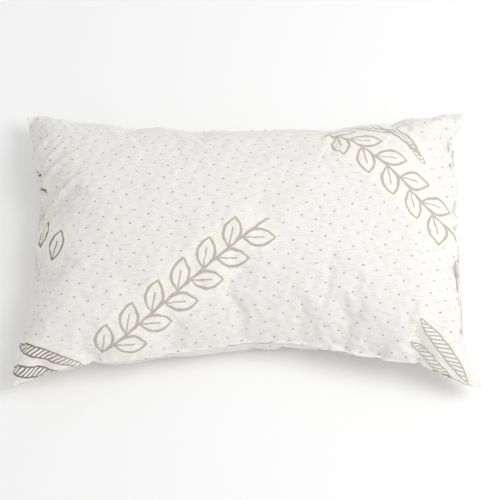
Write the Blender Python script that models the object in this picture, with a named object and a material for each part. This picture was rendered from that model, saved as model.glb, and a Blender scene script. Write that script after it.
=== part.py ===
"""A bed pillow: a knitted cover with a zip along one short side, over a sewn liner
that holds shredded foam.

Metres, +Z up. The pillow lies on its underside, X along its length and Y across it.
The origin is on the surface that it lies on, below the middle of the pillow. The zip
runs along the short side at +X, and the rest pose has the zip closed, with its slider
at the +Y end.
"""

import collections
import math

import bmesh
import bpy
from mathutils import Vector

# The filled pillow: half sizes at the corner tips and at the middle of each side.
TIP_X = 0.366
TIP_Y = 0.240
SIDE_X = 0.337
SIDE_Y = 0.200
SEAM_HEIGHT = 0.064
CROWN = 0.101
BELLY = 0.090
CORNER_DROOP = 0.030

# How sharply the sides flare to the tips, and how the surface swells between the seams.
FLARE_X = 9.0
FLARE_Y = 4.0
DROOP_SHARPNESS = 12.0
SWELL_X = 2.6
SWELL_Y = 2.4
SWELL_ROUNDNESS = 0.55

# Fabrics and threads.
COVER_THICKNESS = 0.002
LINER_THICKNESS = 0.001
TOUCHING_GAP = 0.0003
COVER_THREAD_RADIUS = 0.0006
LINER_THREAD_RADIUS = 0.0005
TOPSTITCH_RADIUS = 0.0004

# The layers, from the outside in: how far each stays inside the cover's outside, sideways
# and up or down, and how much of the cover's flare its corners have.
Layer = collections.namedtuple("Layer", "side_inset height_inset flare")
COVER = Layer(0.0, 0.0, 1.0)
LINER = Layer(0.014, 0.0035, 0.5)
FOAM = Layer(0.026, 0.0055, 0.2)
FOAM_EDGE = 0.001

# The zip. Its own frame has x outwards, y along the chain and z up, on the chain's middle.
HEM_TO_CHAIN = 0.0006
ZIP_X = SIDE_X - COVER_THICKNESS - HEM_TO_CHAIN
ZIP_MOUTH = 0.0055
MOUTH_HALF_LENGTH = 0.171
MOUTH_FADE = 0.014
MOUTH_SHARPNESS = 8
COIL_HALF_LENGTH = 0.163
COIL_INNER = 0.0006
COIL_OUTER = 0.0026
COIL_BACK = 0.00055
COIL_FRONT = 0.0021
TAPE_HALF_LENGTH = 0.171
TAPE_THICKNESS = 0.0005
TAPE_INNER = 0.0008
TAPE_BEND = 0.0050
TAPE_OUTER = 0.0140
TAPE_LEAN = 0.0026
STITCH_HEIGHT = 0.0085
STITCH_MARGIN = 0.003
STOP_LENGTH = 0.0022

# The slider: two flanged plates joined by a post, with a bail for the pull tab.
SLIDER_LENGTH = 0.0110
SLIDER_HALF_WIDTH = 0.0044
PLATE_THICKNESS = 0.0010
PLATE_CORNER = 0.0022
FRONT_PLATE_X = COIL_FRONT + TOUCHING_GAP
BACK_PLATE_CLEARANCE = 0.0008
BACK_PLATE_X = -(TAPE_THICKNESS / 2 + BACK_PLATE_CLEARANCE)
FLANGE_THICKNESS = 0.0010
FLANGE_GAP = 0.0005
POST_HALF_THICKNESS = 0.00035
POST_START = 0.0005
POST_END = 0.0046
BAIL_HALF_WIDTH = 0.0008
BAIL_HALF_LENGTH = 0.0032
BAIL_HEIGHT = 0.0026
BAIL_THICKNESS = 0.0008
JOIN_OVERLAP = 0.0003

# The pull tab hangs by its root bar inside the bail.
TAB_THICKNESS = 0.0011
TAB_HALF_WIDTH = 0.00275
TAB_LENGTH = 0.0240
TAB_ROOT = 0.00055
TAB_CORNER = 0.9 * TAB_ROOT
WINDOW_HALF_WIDTH = 0.0013
WINDOW_LENGTH = 0.0042
HINGE_HEIGHT = 0.0009

# The blank care label, sewn into the seam at the back and hanging below it.
LABEL_X = -0.200
LABEL_WIDTH = 0.030
LABEL_DROP = 0.045
LABEL_THICKNESS = 0.0004

STOP_CLEARANCE = 0.0005
SLIDER_REST_Y = COIL_HALF_LENGTH - SLIDER_LENGTH / 2 - STOP_CLEARANCE

COVER_GRID = (24, 16)
LINER_GRID = (20, 12)
SEAM_STEPS = 14
LINER_SEAM_START = 0.1

FINISHES = {
    "knitted_cover": ((0.86, 0.83, 0.79), 0.0, 0.90),
    "sewing_thread": ((0.80, 0.78, 0.74), 0.0, 0.70),
    "zip_tape": ((0.84, 0.83, 0.80), 0.0, 0.85),
    "nylon_coil": ((0.82, 0.81, 0.78), 0.0, 0.45),
    "nickel": ((0.66, 0.65, 0.62), 1.0, 0.28),
    "satin_label": ((0.88, 0.87, 0.85), 0.0, 0.45),
    "liner_cloth": ((0.85, 0.85, 0.84), 0.0, 0.80),
    "foam": ((0.83, 0.78, 0.62), 0.0, 0.95),
}


def clear_scene():
    for old in list(bpy.data.objects):
        bpy.data.objects.remove(old)


def finish(name):
    """The named material, made the first time that it is asked for."""
    if name in bpy.data.materials:
        return bpy.data.materials[name]
    colour, metallic, roughness = FINISHES[name]
    material = bpy.data.materials.new(name)
    material.use_nodes = True
    shader = material.node_tree.nodes["Principled BSDF"]
    shader.inputs["Base Color"].default_value = (*colour, 1.0)
    shader.inputs["Metallic"].default_value = metallic
    shader.inputs["Roughness"].default_value = roughness
    return material


def add_object(name, data, finish_name, parent=None, location=(0.0, 0.0, 0.0)):
    made = bpy.data.objects.new(name, data)
    made.location = location
    made.parent = parent
    if finish_name:
        data.materials.append(finish(finish_name))
    bpy.context.scene.collection.objects.link(made)
    return made


def mesh_from(name, bm):
    """Turns a bmesh into a mesh with its faces pointing outwards."""
    bmesh.ops.recalc_face_normals(bm, faces=bm.faces)
    if bm.calc_volume(signed=True) < 0.0:
        bmesh.ops.reverse_faces(bm, faces=bm.faces)
    mesh = bpy.data.meshes.new(name)
    bm.to_mesh(mesh)
    bm.free()
    return mesh


# ---------------------------------------------------------------- the pillow's surface


def smooth_step(low, high, value):
    t = min(max((value - low) / (high - low), 0.0), 1.0)
    return t * t * (3.0 - 2.0 * t)


def seam_height(x, y):
    """Height of the seam's plane, which droops to the corner tips."""
    towards_tip = abs(x * y) / (TIP_X * TIP_Y)
    return SEAM_HEIGHT - CORNER_DROOP * towards_tip**DROOP_SHARPNESS


def deeper(layer, thickness):
    return layer._replace(
        side_inset=layer.side_inset + thickness, height_inset=layer.height_inset + thickness
    )


def surface_point(u, v, side, layer, edge=TOUCHING_GAP / 2, mouth=0.0):
    """A point on a layer's top (side 1) or underside (side -1).

    u and v run from -1 to 1 over the panel. edge is how far the panel's rim stays from
    the seam's plane, and mouth is how far it stays there along the zip.
    """
    flare_x = layer.flare * (TIP_X - SIDE_X) * abs(v) ** FLARE_X
    flare_y = layer.flare * (TIP_Y - SIDE_Y) * abs(u) ** FLARE_Y
    x = u * (SIDE_X - layer.side_inset + flare_x)
    y = v * (SIDE_Y - layer.side_inset + flare_y)
    swell = ((1.0 - abs(u) ** SWELL_X) * (1.0 - abs(v) ** SWELL_Y)) ** SWELL_ROUNDNESS
    along_zip = 1.0 - smooth_step(MOUTH_HALF_LENGTH, MOUTH_HALF_LENGTH + MOUTH_FADE, abs(v) * TIP_Y)
    rim = edge + max(mouth - edge, 0.0) * along_zip * max(u, 0.0) ** MOUTH_SHARPNESS
    height = CROWN if side > 0 else BELLY
    z = seam_height(x, y) + side * (rim + (height - layer.height_inset) * swell)
    if side < 0:
        z = max(z, layer.height_inset)
    return Vector((x, y, z))


def spread(count):
    """Values from -1 to 1, closer together towards the ends, where the surface turns over."""
    return [math.sin(math.pi / 2 * (2.0 * step / count - 1.0)) for step in range(count + 1)]


def add_grid(bm, columns, rows, *shape):
    """Adds one surface as rows of vertices and faces, and returns the vertices."""
    grid = [[bm.verts.new(surface_point(u, v, *shape)) for v in spread(rows)] for u in spread(columns)]
    for i in range(columns):
        for j in range(rows):
            bm.faces.new((grid[i][j], grid[i + 1][j], grid[i + 1][j + 1], grid[i][j + 1]))
    return grid


def rim_of(grid):
    """The vertices around a grid's edge, in order."""
    last = len(grid) - 1
    front = [column[0] for column in grid]
    right = grid[last][1:]
    back = [column[-1] for column in grid[:last]][::-1]
    left = grid[0][1:-1][::-1]
    return front + right + back + left


def close_rims(bm, first, second):
    ring, other = rim_of(first), rim_of(second)
    for k, vertex in enumerate(ring):
        after = (k + 1) % len(ring)
        bm.faces.new((vertex, ring[after], other[after], other[k]))


def add_panel(name, side, size, finish_name, layer, thickness, mouth=0.0):
    """One panel of a casing: a dish of even thickness, open towards the seam."""
    bm = bmesh.new()
    edge = TOUCHING_GAP / 2
    outer = add_grid(bm, *size, side, layer, edge, mouth)
    inner = add_grid(bm, *size, side, deeper(layer, thickness), edge, mouth)
    close_rims(bm, outer, inner)
    panel = add_object(name, mesh_from(name, bm), finish_name)
    panel.data.shade_smooth()
    panel.data.set_sharp_from_angle(angle=math.radians(50))


def add_thread(name, points, radius, finish_name):
    """A sewn line of thread, as a thin tube through the points."""
    curve = bpy.data.curves.new(name, "CURVE")
    curve.dimensions = "3D"
    curve.bevel_depth = radius
    curve.bevel_resolution = 1
    curve.use_fill_caps = True
    spline = curve.splines.new("POLY")
    spline.points.add(len(points) - 1)
    for place, point in zip(spline.points, points):
        place.co = (*point, 1.0)
    return add_object(name, curve, finish_name)


def seam_route(layer, start, steps):
    """Points just inside a layer's seam, from the +X side round the back, the left and the front.

    start is the value of v where the route leaves the +X side, and where it comes back to it.
    """
    side_u, side_v = 0.985, 0.98
    corner_u, corner_v = 0.93, 0.92
    turns = [(side_u, start)]
    for sign_u, sign_v in ((1, 1), (-1, 1), (-1, -1), (1, -1)):
        corner = [(sign_u * side_u, sign_v * corner_v), (sign_u * corner_u, sign_v * side_v)]
        turns += corner if sign_u == sign_v else corner[::-1]
    turns.append((side_u, -start))
    route = []
    for (u0, v0), (u1, v1) in zip(turns[:-1], turns[1:]):
        count = max(1, round(steps * max(abs(u1 - u0), abs(v1 - v0)) / 2))
        for step in range(count):
            t = step / count
            route.append((u0 + (u1 - u0) * t, v0 + (v1 - v0) * t))
    route.append(turns[-1])
    points = []
    for u, v in route:
        on_seam = surface_point(u, v, 1, layer)
        points.append(Vector((on_seam.x, on_seam.y, seam_height(on_seam.x, on_seam.y))))
    return points


# ---------------------------------------------------------------- straight solids


def prism(name, outline, low, high, along, finish_name, parent, location=(0.0, 0.0, 0.0)):
    """Extrudes an outline along x, y or z. The outline gives the other two, in the order x, y, z."""
    places = {"x": lambda a, b: (low, a, b), "y": lambda a, b: (a, low, b), "z": lambda a, b: (a, b, low)}
    shift = {"x": (high - low, 0, 0), "y": (0, high - low, 0), "z": (0, 0, high - low)}
    bm = bmesh.new()
    base = bm.faces.new([bm.verts.new(places[along](a, b)) for a, b in outline])
    raised = bmesh.ops.extrude_face_region(bm, geom=[base])
    moved = [item for item in raised["geom"] if isinstance(item, bmesh.types.BMVert)]
    bmesh.ops.translate(bm, verts=moved, vec=shift[along])
    return add_object(name, mesh_from(name, bm), finish_name, parent, location)


def rectangle(low_a, high_a, low_b, high_b):
    return [(low_a, low_b), (high_a, low_b), (high_a, high_b), (low_a, high_b)]


def rounded_rectangle(low_a, high_a, low_b, high_b, radius, steps=4):
    corners = [
        (high_a - radius, high_b - radius, 0.0),
        (low_a + radius, high_b - radius, 90.0),
        (low_a + radius, low_b + radius, 180.0),
        (high_a - radius, low_b + radius, 270.0),
    ]
    outline = []
    for a, b, turn in corners:
        for step in range(steps + 1):
            angle = math.radians(turn + 90.0 * step / steps)
            outline.append((a + radius * math.cos(angle), b + radius * math.sin(angle)))
    return outline


def combine(target, helper, operation):
    """Joins a helper solid to the target, or cuts it out, and keeps the helper out of the build."""
    helper.hide_render = True
    helper.display_type = "WIRE"
    modifier = target.modifiers.new(helper.name, "BOOLEAN")
    modifier.operation = operation
    modifier.object = helper


# ---------------------------------------------------------------- the pillow's pieces


def add_cover():
    for name, side in (("cover_top_panel", 1), ("cover_bottom_panel", -1)):
        add_panel(name, side, COVER_GRID, "knitted_cover", COVER, COVER_THICKNESS, ZIP_MOUTH)
    past_mouth = (MOUTH_HALF_LENGTH + MOUTH_FADE) / TIP_Y
    route = seam_route(deeper(COVER, COVER_THICKNESS), past_mouth, SEAM_STEPS)
    add_thread("cover_seam_thread", route, COVER_THREAD_RADIUS, "sewing_thread")


def add_liner():
    for name, side in (("liner_top_panel", 1), ("liner_bottom_panel", -1)):
        add_panel(name, side, LINER_GRID, "liner_cloth", LINER, LINER_THICKNESS)
    route = seam_route(deeper(LINER, LINER_THICKNESS), LINER_SEAM_START, SEAM_STEPS)
    add_thread("liner_seam_thread", route, LINER_THREAD_RADIUS, "sewing_thread")


def add_foam():
    bm = bmesh.new()
    top = add_grid(bm, *LINER_GRID, 1, FOAM, FOAM_EDGE)
    underside = add_grid(bm, *LINER_GRID, -1, FOAM, FOAM_EDGE)
    close_rims(bm, top, underside)
    add_object("foam_fill", mesh_from("foam_fill", bm), "foam").data.shade_smooth()


def tape_outline(side):
    """The tape's section: flat beside the coil, then leaning inwards under the cover's hem."""
    half = TAPE_THICKNESS / 2
    middle = [(0.0, TAPE_INNER), (0.0, TAPE_BEND), (-TAPE_LEAN, TAPE_OUTER)]
    front = [(x + half, side * z) for x, z in middle]
    back = [(x - half, side * z) for x, z in reversed(middle)]
    return front + back


def add_zip_halves(zip_line):
    for half, side in (("upper", 1), ("lower", -1)):
        prism(
            f"zip_tape_{half}",
            tape_outline(side),
            -TAPE_HALF_LENGTH,
            TAPE_HALF_LENGTH,
            "y",
            "zip_tape",
            zip_line,
        )
        coil = rectangle(COIL_BACK, COIL_FRONT, *sorted((side * COIL_INNER, side * COIL_OUTER)))
        prism(
            f"zip_coil_{half}", coil, -COIL_HALF_LENGTH, COIL_HALF_LENGTH, "y", "nylon_coil", zip_line
        )
        stop_start = COIL_HALF_LENGTH + TOUCHING_GAP
        prism(
            f"zip_top_stop_{half}", coil, stop_start, stop_start + STOP_LENGTH, "y", "nickel", zip_line
        )
    bottom_stop = rectangle(COIL_BACK, COIL_FRONT, -COIL_OUTER, COIL_OUTER)
    stop_end = -COIL_HALF_LENGTH - TOUCHING_GAP
    prism("zip_bottom_stop", bottom_stop, stop_end - STOP_LENGTH, stop_end, "y", "nickel", zip_line)


def add_topstitching():
    """The row of stitches that holds each tape to the hem, lying on the hem's outer side."""
    steps = 12
    reach = (MOUTH_HALF_LENGTH - STITCH_MARGIN) / TIP_Y
    for half, side in (("upper", 1), ("lower", -1)):
        points = []
        for step in range(steps + 1):
            v = reach * (2.0 * step / steps - 1.0)
            hem = surface_point(1.0, v, side, COVER, mouth=ZIP_MOUTH)
            out = TOPSTITCH_RADIUS + TOUCHING_GAP
            points.append(Vector((hem.x + out, hem.y, SEAM_HEIGHT + side * STITCH_HEIGHT)))
        add_thread(f"zip_stitching_{half}", points, TOPSTITCH_RADIUS, "sewing_thread")


def add_slider(zip_line):
    """The slider's body. Its origin is on the chain's middle, and it slides along y."""
    half_length = SLIDER_LENGTH / 2
    plate = rounded_rectangle(
        -half_length, half_length, -SLIDER_HALF_WIDTH, SLIDER_HALF_WIDTH, PLATE_CORNER
    )
    place = (0.0, SLIDER_REST_Y, 0.0)
    front_outside = FRONT_PLATE_X + PLATE_THICKNESS
    back_outside = BACK_PLATE_X - PLATE_THICKNESS
    flange_ends = half_length - PLATE_CORNER
    tape_side = TAPE_THICKNESS / 2 + FLANGE_GAP
    flange_edge = SLIDER_HALF_WIDTH - FLANGE_THICKNESS

    body = prism(
        "zip_slider_body", plate, FRONT_PLATE_X, front_outside, "x", "nickel", zip_line, place
    )
    back_plate = prism(
        "slider_back_plate", plate, back_outside, BACK_PLATE_X, "x", None, zip_line, place
    )
    post = prism(
        "slider_post",
        rectangle(POST_START, POST_END, -POST_HALF_THICKNESS, POST_HALF_THICKNESS),
        BACK_PLATE_X - JOIN_OVERLAP,
        FRONT_PLATE_X + JOIN_OVERLAP,
        "x",
        None,
        zip_line,
        place,
    )
    helpers = [back_plate, post, add_bail(front_outside, zip_line, place)]
    for side_name, side in (("upper", 1), ("lower", -1)):
        width = sorted((side * flange_edge, side * SLIDER_HALF_WIDTH))
        flange = rectangle(-flange_ends, flange_ends, *width)
        reach = FRONT_PLATE_X + JOIN_OVERLAP
        helpers.append(
            prism(f"slider_flange_{side_name}", flange, tape_side, reach, "x", None, zip_line, place)
        )
    for helper in helpers:
        combine(body, helper, "UNION")
    return body


def add_bail(plate_top, zip_line, place):
    """The small arch on the slider that the pull tab hangs from."""
    foot = plate_top - JOIN_OVERLAP
    top = plate_top + BAIL_HEIGHT
    end = BAIL_HALF_LENGTH
    corner = BAIL_THICKNESS
    outside = [(foot, -end), (top - corner, -end), (top, -end + corner), (top, end - corner)]
    outside += [(top - corner, end), (foot, end)]
    under = top - BAIL_THICKNESS
    leg = end - BAIL_THICKNESS
    inside = [(foot, leg), (under, leg), (under, -leg), (foot, -leg)]
    return prism(
        "slider_bail",
        outside + inside,
        -BAIL_HALF_WIDTH,
        BAIL_HALF_WIDTH,
        "z",
        None,
        zip_line,
        place,
    )


def add_pull_tab(slider):
    """The pull tab. Its origin is on its hinge, and at rest it lies along -y."""
    hinge = (FRONT_PLATE_X + PLATE_THICKNESS + HINGE_HEIGHT, 0.0, 0.0)
    half = TAB_THICKNESS / 2
    blade = rounded_rectangle(
        TAB_ROOT - TAB_LENGTH, TAB_ROOT, -TAB_HALF_WIDTH, TAB_HALF_WIDTH, TAB_CORNER
    )
    tab = prism("zip_pull_tab", blade, -half, half, "x", "nickel", slider, hinge)
    window = rectangle(-WINDOW_LENGTH, -TAB_ROOT, -WINDOW_HALF_WIDTH, WINDOW_HALF_WIDTH)
    cutter = prism("tab_window", window, -TAB_THICKNESS, TAB_THICKNESS, "x", None, slider, hinge)
    combine(tab, cutter, "DIFFERENCE")
    return tab


def add_care_label():
    """A blank label that hangs from the back seam, against the underside."""
    left, right = LABEL_X - LABEL_WIDTH / 2, LABEL_X + LABEL_WIDTH / 2
    seam = surface_point(left / SIDE_X, 1.0, 1, COVER)
    near = seam.y + TOUCHING_GAP
    top = SEAM_HEIGHT - TOUCHING_GAP
    outline = rectangle(left, right, top - LABEL_DROP, top)
    prism("care_label", outline, near, near + LABEL_THICKNESS, "y", "satin_label", None)


def main():
    clear_scene()
    add_cover()
    add_liner()
    add_foam()
    zip_line = bpy.data.objects.new("zip_line", None)
    zip_line.location = (ZIP_X, 0.0, SEAM_HEIGHT)
    bpy.context.scene.collection.objects.link(zip_line)
    add_zip_halves(zip_line)
    add_topstitching()
    slider = add_slider(zip_line)
    add_pull_tab(slider)
    add_care_label()


main()
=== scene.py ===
"""The looks of a bed pillow: a knitted jacquard cover, blown up and laid down by a cloth
simulation, with its zip, seams, label, liner and shredded foam.

Everything is in metres, in the frame of the solids: X along the pillow, Y across it, Z up.
"""

import math

import bmesh
import bpy
import numpy as np
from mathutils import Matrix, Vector
from mathutils.kdtree import KDTree


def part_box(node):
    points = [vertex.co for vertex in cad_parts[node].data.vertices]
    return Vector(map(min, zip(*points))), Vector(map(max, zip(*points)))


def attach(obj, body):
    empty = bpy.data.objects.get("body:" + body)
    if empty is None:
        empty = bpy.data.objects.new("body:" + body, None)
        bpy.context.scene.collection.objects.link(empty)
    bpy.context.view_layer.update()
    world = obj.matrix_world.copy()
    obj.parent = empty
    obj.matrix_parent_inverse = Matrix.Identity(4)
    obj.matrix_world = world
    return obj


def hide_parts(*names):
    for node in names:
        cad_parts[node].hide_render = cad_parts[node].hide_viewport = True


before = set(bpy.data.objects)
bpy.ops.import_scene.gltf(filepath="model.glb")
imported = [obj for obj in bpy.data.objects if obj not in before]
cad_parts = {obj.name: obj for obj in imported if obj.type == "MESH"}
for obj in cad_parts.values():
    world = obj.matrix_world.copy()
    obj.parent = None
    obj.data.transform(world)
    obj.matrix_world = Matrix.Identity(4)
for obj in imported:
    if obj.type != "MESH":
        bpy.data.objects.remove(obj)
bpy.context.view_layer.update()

# ------------------------------------------------------------------ sizes

# The cover's cut, how much of it the seams leave, how far in its long sides and the short side
# without the zip are cut at their middles, and the thickness of its cloth.
CUT_LENGTH = 0.762
CUT_WIDTH = 0.508
STRETCH = 0.985
END_HOLLOW = 0.010
SIDE_HOLLOW = 0.009
FABRIC = 0.0018

# The front seam is drawn in near its middle: how far, and its place and spread in half lengths.
FRONT_GATHER = 0.020
GATHER_PLACE = 0.1
GATHER_SPREAD = 0.35

tape_low, tape_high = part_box("zip_tape_upper")
_, lower_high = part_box("zip_tape_lower")
ZIP_REACH = tape_high.y
SEAM_HEIGHT = (tape_low.z + lower_high.z) / 2
ON_MIDDLE = 0.001


def hem_point():
    """The farthest point of the top panel's zipped side, on the pillow's middle line."""
    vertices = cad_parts["cover_top_panel"].data.vertices
    return max((v.co for v in vertices if abs(v.co.y) < ON_MIDDLE), key=lambda place: place.x)


hem = hem_point()
SIDE_X = hem.x
HEM_RISE = hem.z - SEAM_HEIGHT

# ------------------------------------------------------------------ small helpers


def colour(code):
    """The linear colour of an sRGB hex value."""
    parts = [int(code[k : k + 2], 16) / 255 for k in (1, 3, 5)]
    linear = [c / 12.92 if c <= 0.04045 else ((c + 0.055) / 1.055) ** 2.4 for c in parts]
    return (*linear, 1.0)


def add_node(tree, kind, inputs=(), **settings):
    """Adds a node, sets its properties, and gives each input a value or another node's output."""
    made = tree.nodes.new(kind)
    for name, value in settings.items():
        setattr(made, name, value)
    for key, value in dict(inputs).items():
        if isinstance(value, bpy.types.Node):
            value = value.outputs[0]
        if isinstance(value, bpy.types.NodeSocket):
            tree.links.new(value, made.inputs[key])
        else:
            made.inputs[key].default_value = value
    return made


def new_finish(name, base, roughness, **values):
    """A material with its shader's own sockets set. Returns it, its tree and its shader."""
    material = bpy.data.materials.new(name)
    material.use_nodes = True
    shader = material.node_tree.nodes["Principled BSDF"]
    shader.inputs["Base Color"].default_value = colour(base)
    shader.inputs["Roughness"].default_value = roughness
    for key, value in values.items():
        shader.inputs[key.replace("_", " ")].default_value = value
    return material, material.node_tree, shader


# ------------------------------------------------------------------ camera, floor and light

CAMERA_ELEVATION = math.radians(64.0)
CAMERA_DISTANCE = 2.66
LENS = 118.0
AIM = Vector((0.0065, 0.0, 0.020))
FLOOR_HALF = 6.0
PAPER = (0.96, 0.96, 0.96, 1.0)
WORLD_STRENGTH = 0.72
KEY_PLACE = (1.6, -0.15, 2.15)
KEY_AIM = (0, 0, 0.05)
KEY_SIZE = 1.6
KEY_WATTS = 28.0


def level_square(name, half, height):
    corners = [(x * half, y * half, height) for x, y in ((-1, -1), (1, -1), (1, 1), (-1, 1))]
    mesh = bpy.data.meshes.new(name)
    mesh.from_pydata(corners, [], [(0, 1, 2, 3)])
    square = bpy.data.objects.new(name, mesh)
    bpy.context.scene.collection.objects.link(square)
    return square


def add_camera():
    data = bpy.data.cameras.new("camera")
    data.lens = LENS
    camera = bpy.data.objects.new("camera", data)
    bpy.context.scene.collection.objects.link(camera)
    back = Vector((0.0, -math.cos(CAMERA_ELEVATION), math.sin(CAMERA_ELEVATION)))
    camera.location = AIM + back * CAMERA_DISTANCE
    camera.rotation_mode = "QUATERNION"
    camera.rotation_quaternion = (-back).to_track_quat("-Z", "Y")
    bpy.context.scene.camera = camera


def area_light(name, place, aim, size, watts):
    data = bpy.data.lights.new(name, "AREA")
    data.shape = "DISK"
    data.size = size
    data.energy = watts
    lamp = bpy.data.objects.new(name, data)
    lamp.location = place
    lamp.rotation_mode = "QUATERNION"
    lamp.rotation_quaternion = (Vector(aim) - Vector(place)).to_track_quat("-Z", "Y")
    bpy.context.scene.collection.objects.link(lamp)


def add_studio():
    scene = bpy.context.scene
    scene.view_settings.view_transform = "Standard"
    floor = level_square("floor", FLOOR_HALF, 0.0)
    material = bpy.data.materials.new("studio_paper")
    material.use_nodes = True
    shader = material.node_tree.nodes["Principled BSDF"]
    shader.inputs["Base Color"].default_value = PAPER
    shader.inputs["Roughness"].default_value = 0.9
    floor.data.materials.append(material)
    world = bpy.data.worlds.new("studio")
    world.use_nodes = True
    world.node_tree.nodes["Background"].inputs["Color"].default_value = (1, 1, 1, 1)
    world.node_tree.nodes["Background"].inputs["Strength"].default_value = WORLD_STRENGTH
    scene.world = world
    area_light("key", KEY_PLACE, KEY_AIM, KEY_SIZE, KEY_WATTS)


# ------------------------------------------------------------------ the cover, as cloth

CELLS_X = 112
CELLS_Y = 76
START_GAP = 0.012
DRAW_FRAMES = 15
# The cloth settles this far above whatever it lies on, so its ground is that much lower.
REST_GAP = 0.004
GROUND_HALF = 1.0
SIMULATED_FRAMES = 60
START_UNEVENNESS = 0.0005

# Tugs that the sewing gives the seams: where on the flat cloth, how far each one moves it, and how
# far it reaches.
TUGS = (
    ((0.381, -0.254), (0.014, -0.010, -0.026), 0.055),
    ((-0.381, -0.254), (-0.002, -0.004, -0.022), 0.060),
    ((-0.381, 0.254), (0.000, 0.002, -0.016), 0.050),
    ((0.381, 0.254), (0.012, 0.000, -0.014), 0.045),
    ((-0.381, 0.092), (0.007, 0.000, 0.002), 0.030),
)


def tug(grid, flat):
    """Moves a panel's points as the tugs on its seams do."""
    moved = grid.copy()
    for place, push, reach in TUGS:
        away = np.linalg.norm(flat - np.array(place), axis=-1)
        moved += np.exp(-((away / reach) ** 2))[..., None] * np.array(push)
    return moved


def grid_faces(grid):
    """The quads of a grid of point numbers."""
    return np.stack([grid[:-1, :-1], grid[1:, :-1], grid[1:, 1:], grid[:-1, 1:]], -1).reshape(-1, 4)


def sew_envelope():
    """Cuts both panels and sews them together, but for the zip.

    Returns the envelope, its shape with the zip drawn in, the top's and the underside's point
    numbers, and each point's place on the flat cloth.
    """
    along, across = np.linspace(-1, 1, CELLS_X + 1), np.linspace(-1, 1, CELLS_Y + 1)
    u, v = np.meshgrid(along, across, indexing="ij")
    gather = FRONT_GATHER * np.exp(-((u - GATHER_PLACE) / GATHER_SPREAD) ** 2) * np.clip(-v, 0, 1)
    flat_x = u * CUT_LENGTH / 2 * STRETCH + END_HOLLOW * np.clip(-u, 0, 1) * (1 - v**2)
    flat_y = v * (CUT_WIDTH / 2 * STRETCH - SIDE_HOLLOW * (1 - u**2)) + gather
    edge = (np.abs(u) == 1) | (np.abs(v) == 1)
    zipped = (u == 1) & (np.abs(flat_y) <= ZIP_REACH)
    shared = edge & ~zipped
    top = np.arange(u.size).reshape(u.shape)
    underside = top.copy()
    underside[~shared] = u.size + np.arange((~shared).sum())
    panels = []
    drawn = []
    for side in (1, -1):
        height = SEAM_HEIGHT + side * START_GAP * (1 - u**2) * (1 - v**2)
        panels.append(np.stack([flat_x, flat_y, height], -1))
        panels[-1][zipped, 2] = SEAM_HEIGHT + side * HEM_RISE
        drawn.append(panels[-1].copy())
        drawn[-1][zipped, 0] = SIDE_X
    start = np.concatenate([panels[0].reshape(-1, 3), panels[1][~shared]])
    closed = np.concatenate([drawn[0].reshape(-1, 3), drawn[1][~shared]])
    noise = np.random.default_rng(4).normal(0, START_UNEVENNESS, start.shape)
    start += noise
    closed += noise
    faces = np.concatenate([grid_faces(top), grid_faces(underside)[:, ::-1]])
    mesh = bpy.data.meshes.new("cover_cloth")
    mesh.from_pydata(start, [], faces.tolist())
    envelope = bpy.data.objects.new("cover_cloth", mesh)
    bpy.context.scene.collection.objects.link(envelope)
    envelope.shape_key_add(name="cut")
    drawn_in = envelope.shape_key_add(name="drawn_in")
    drawn_in.data.foreach_set("co", closed.astype(np.float32).ravel())
    pinned = envelope.vertex_groups.new(name="zip")
    pinned.add([int(k) for k in np.concatenate([top[zipped], underside[zipped]])], 1.0, "REPLACE")
    return envelope, drawn_in, top, underside, np.stack([flat_x, flat_y], -1)


def as_cloth(envelope):
    """Gives the envelope the stiffness of a knit and the pressure of its fill."""
    modifier = envelope.modifiers.new("cloth", "CLOTH")
    cloth = modifier.settings
    cloth.quality = 6
    cloth.mass = 0.1
    cloth.tension_stiffness = 40
    cloth.compression_stiffness = 40
    cloth.shear_stiffness = 4
    cloth.bending_model = "ANGULAR"
    cloth.bending_stiffness = 0.8
    cloth.tension_damping = cloth.compression_damping = cloth.shear_damping = 5
    cloth.bending_damping = 0.5
    cloth.air_damping = 2.0
    cloth.use_pressure = True
    cloth.uniform_pressure_force = 4.0
    cloth.vertex_group_mass = "zip"
    cloth.pin_stiffness = 1.0
    modifier.collision_settings.distance_min = 0.003
    cloth.effector_weights.gravity = 0.05
    return modifier


def simulate_cover():
    """Fills the sewn envelope and lets it settle.

    Returns the top's and the underside's points, and each point's place on the flat cloth.
    """
    envelope, drawn_in, top, underside, flat = sew_envelope()
    modifier = as_cloth(envelope)
    ground = level_square("ground", GROUND_HALF, -REST_GAP)
    ground.modifiers.new("collision", "COLLISION")
    ground.collision.thickness_outer = 0.002
    ground.collision.cloth_friction = 8.0
    scene = bpy.context.scene
    frames = SIMULATED_FRAMES
    modifier.point_cache.frame_start = scene.frame_start = 1
    modifier.point_cache.frame_end = scene.frame_end = frames + 1
    for moment, value in ((1, 0.0), (DRAW_FRAMES, 1.0)):
        drawn_in.value = value
        drawn_in.keyframe_insert("value", frame=moment)
    for step in range(1, frames + 1):
        scene.frame_set(step)
    settled = envelope.evaluated_get(bpy.context.evaluated_depsgraph_get())
    points = np.empty(len(envelope.data.vertices) * 3, np.float32)
    settled.data.vertices.foreach_get("co", points)
    points = points.reshape(-1, 3).astype(float)
    scene.frame_set(1)
    bpy.data.objects.remove(envelope)
    bpy.data.objects.remove(ground)
    return tug(points[top], flat), tug(points[underside], flat), flat


# ------------------------------------------------------------------ the settled cover, made fine

# The panels' lines beside each seam, in cells from it.
EDGE_LINES = (0.0, 0.05, 0.13, 0.25, 0.42, 0.68)
# How far a seam pulls the panels' edges in, and how far apart they stay from its middle.
SEAM_ROLL = 0.0022
SEAM_GAP = 0.0002
# The hem lies flat this far from the zip, is free from here on, and fades this far past its ends.
HEM_FLAT = 0.005
HEM_END = 0.020
HEM_FADE = 0.012


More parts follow.
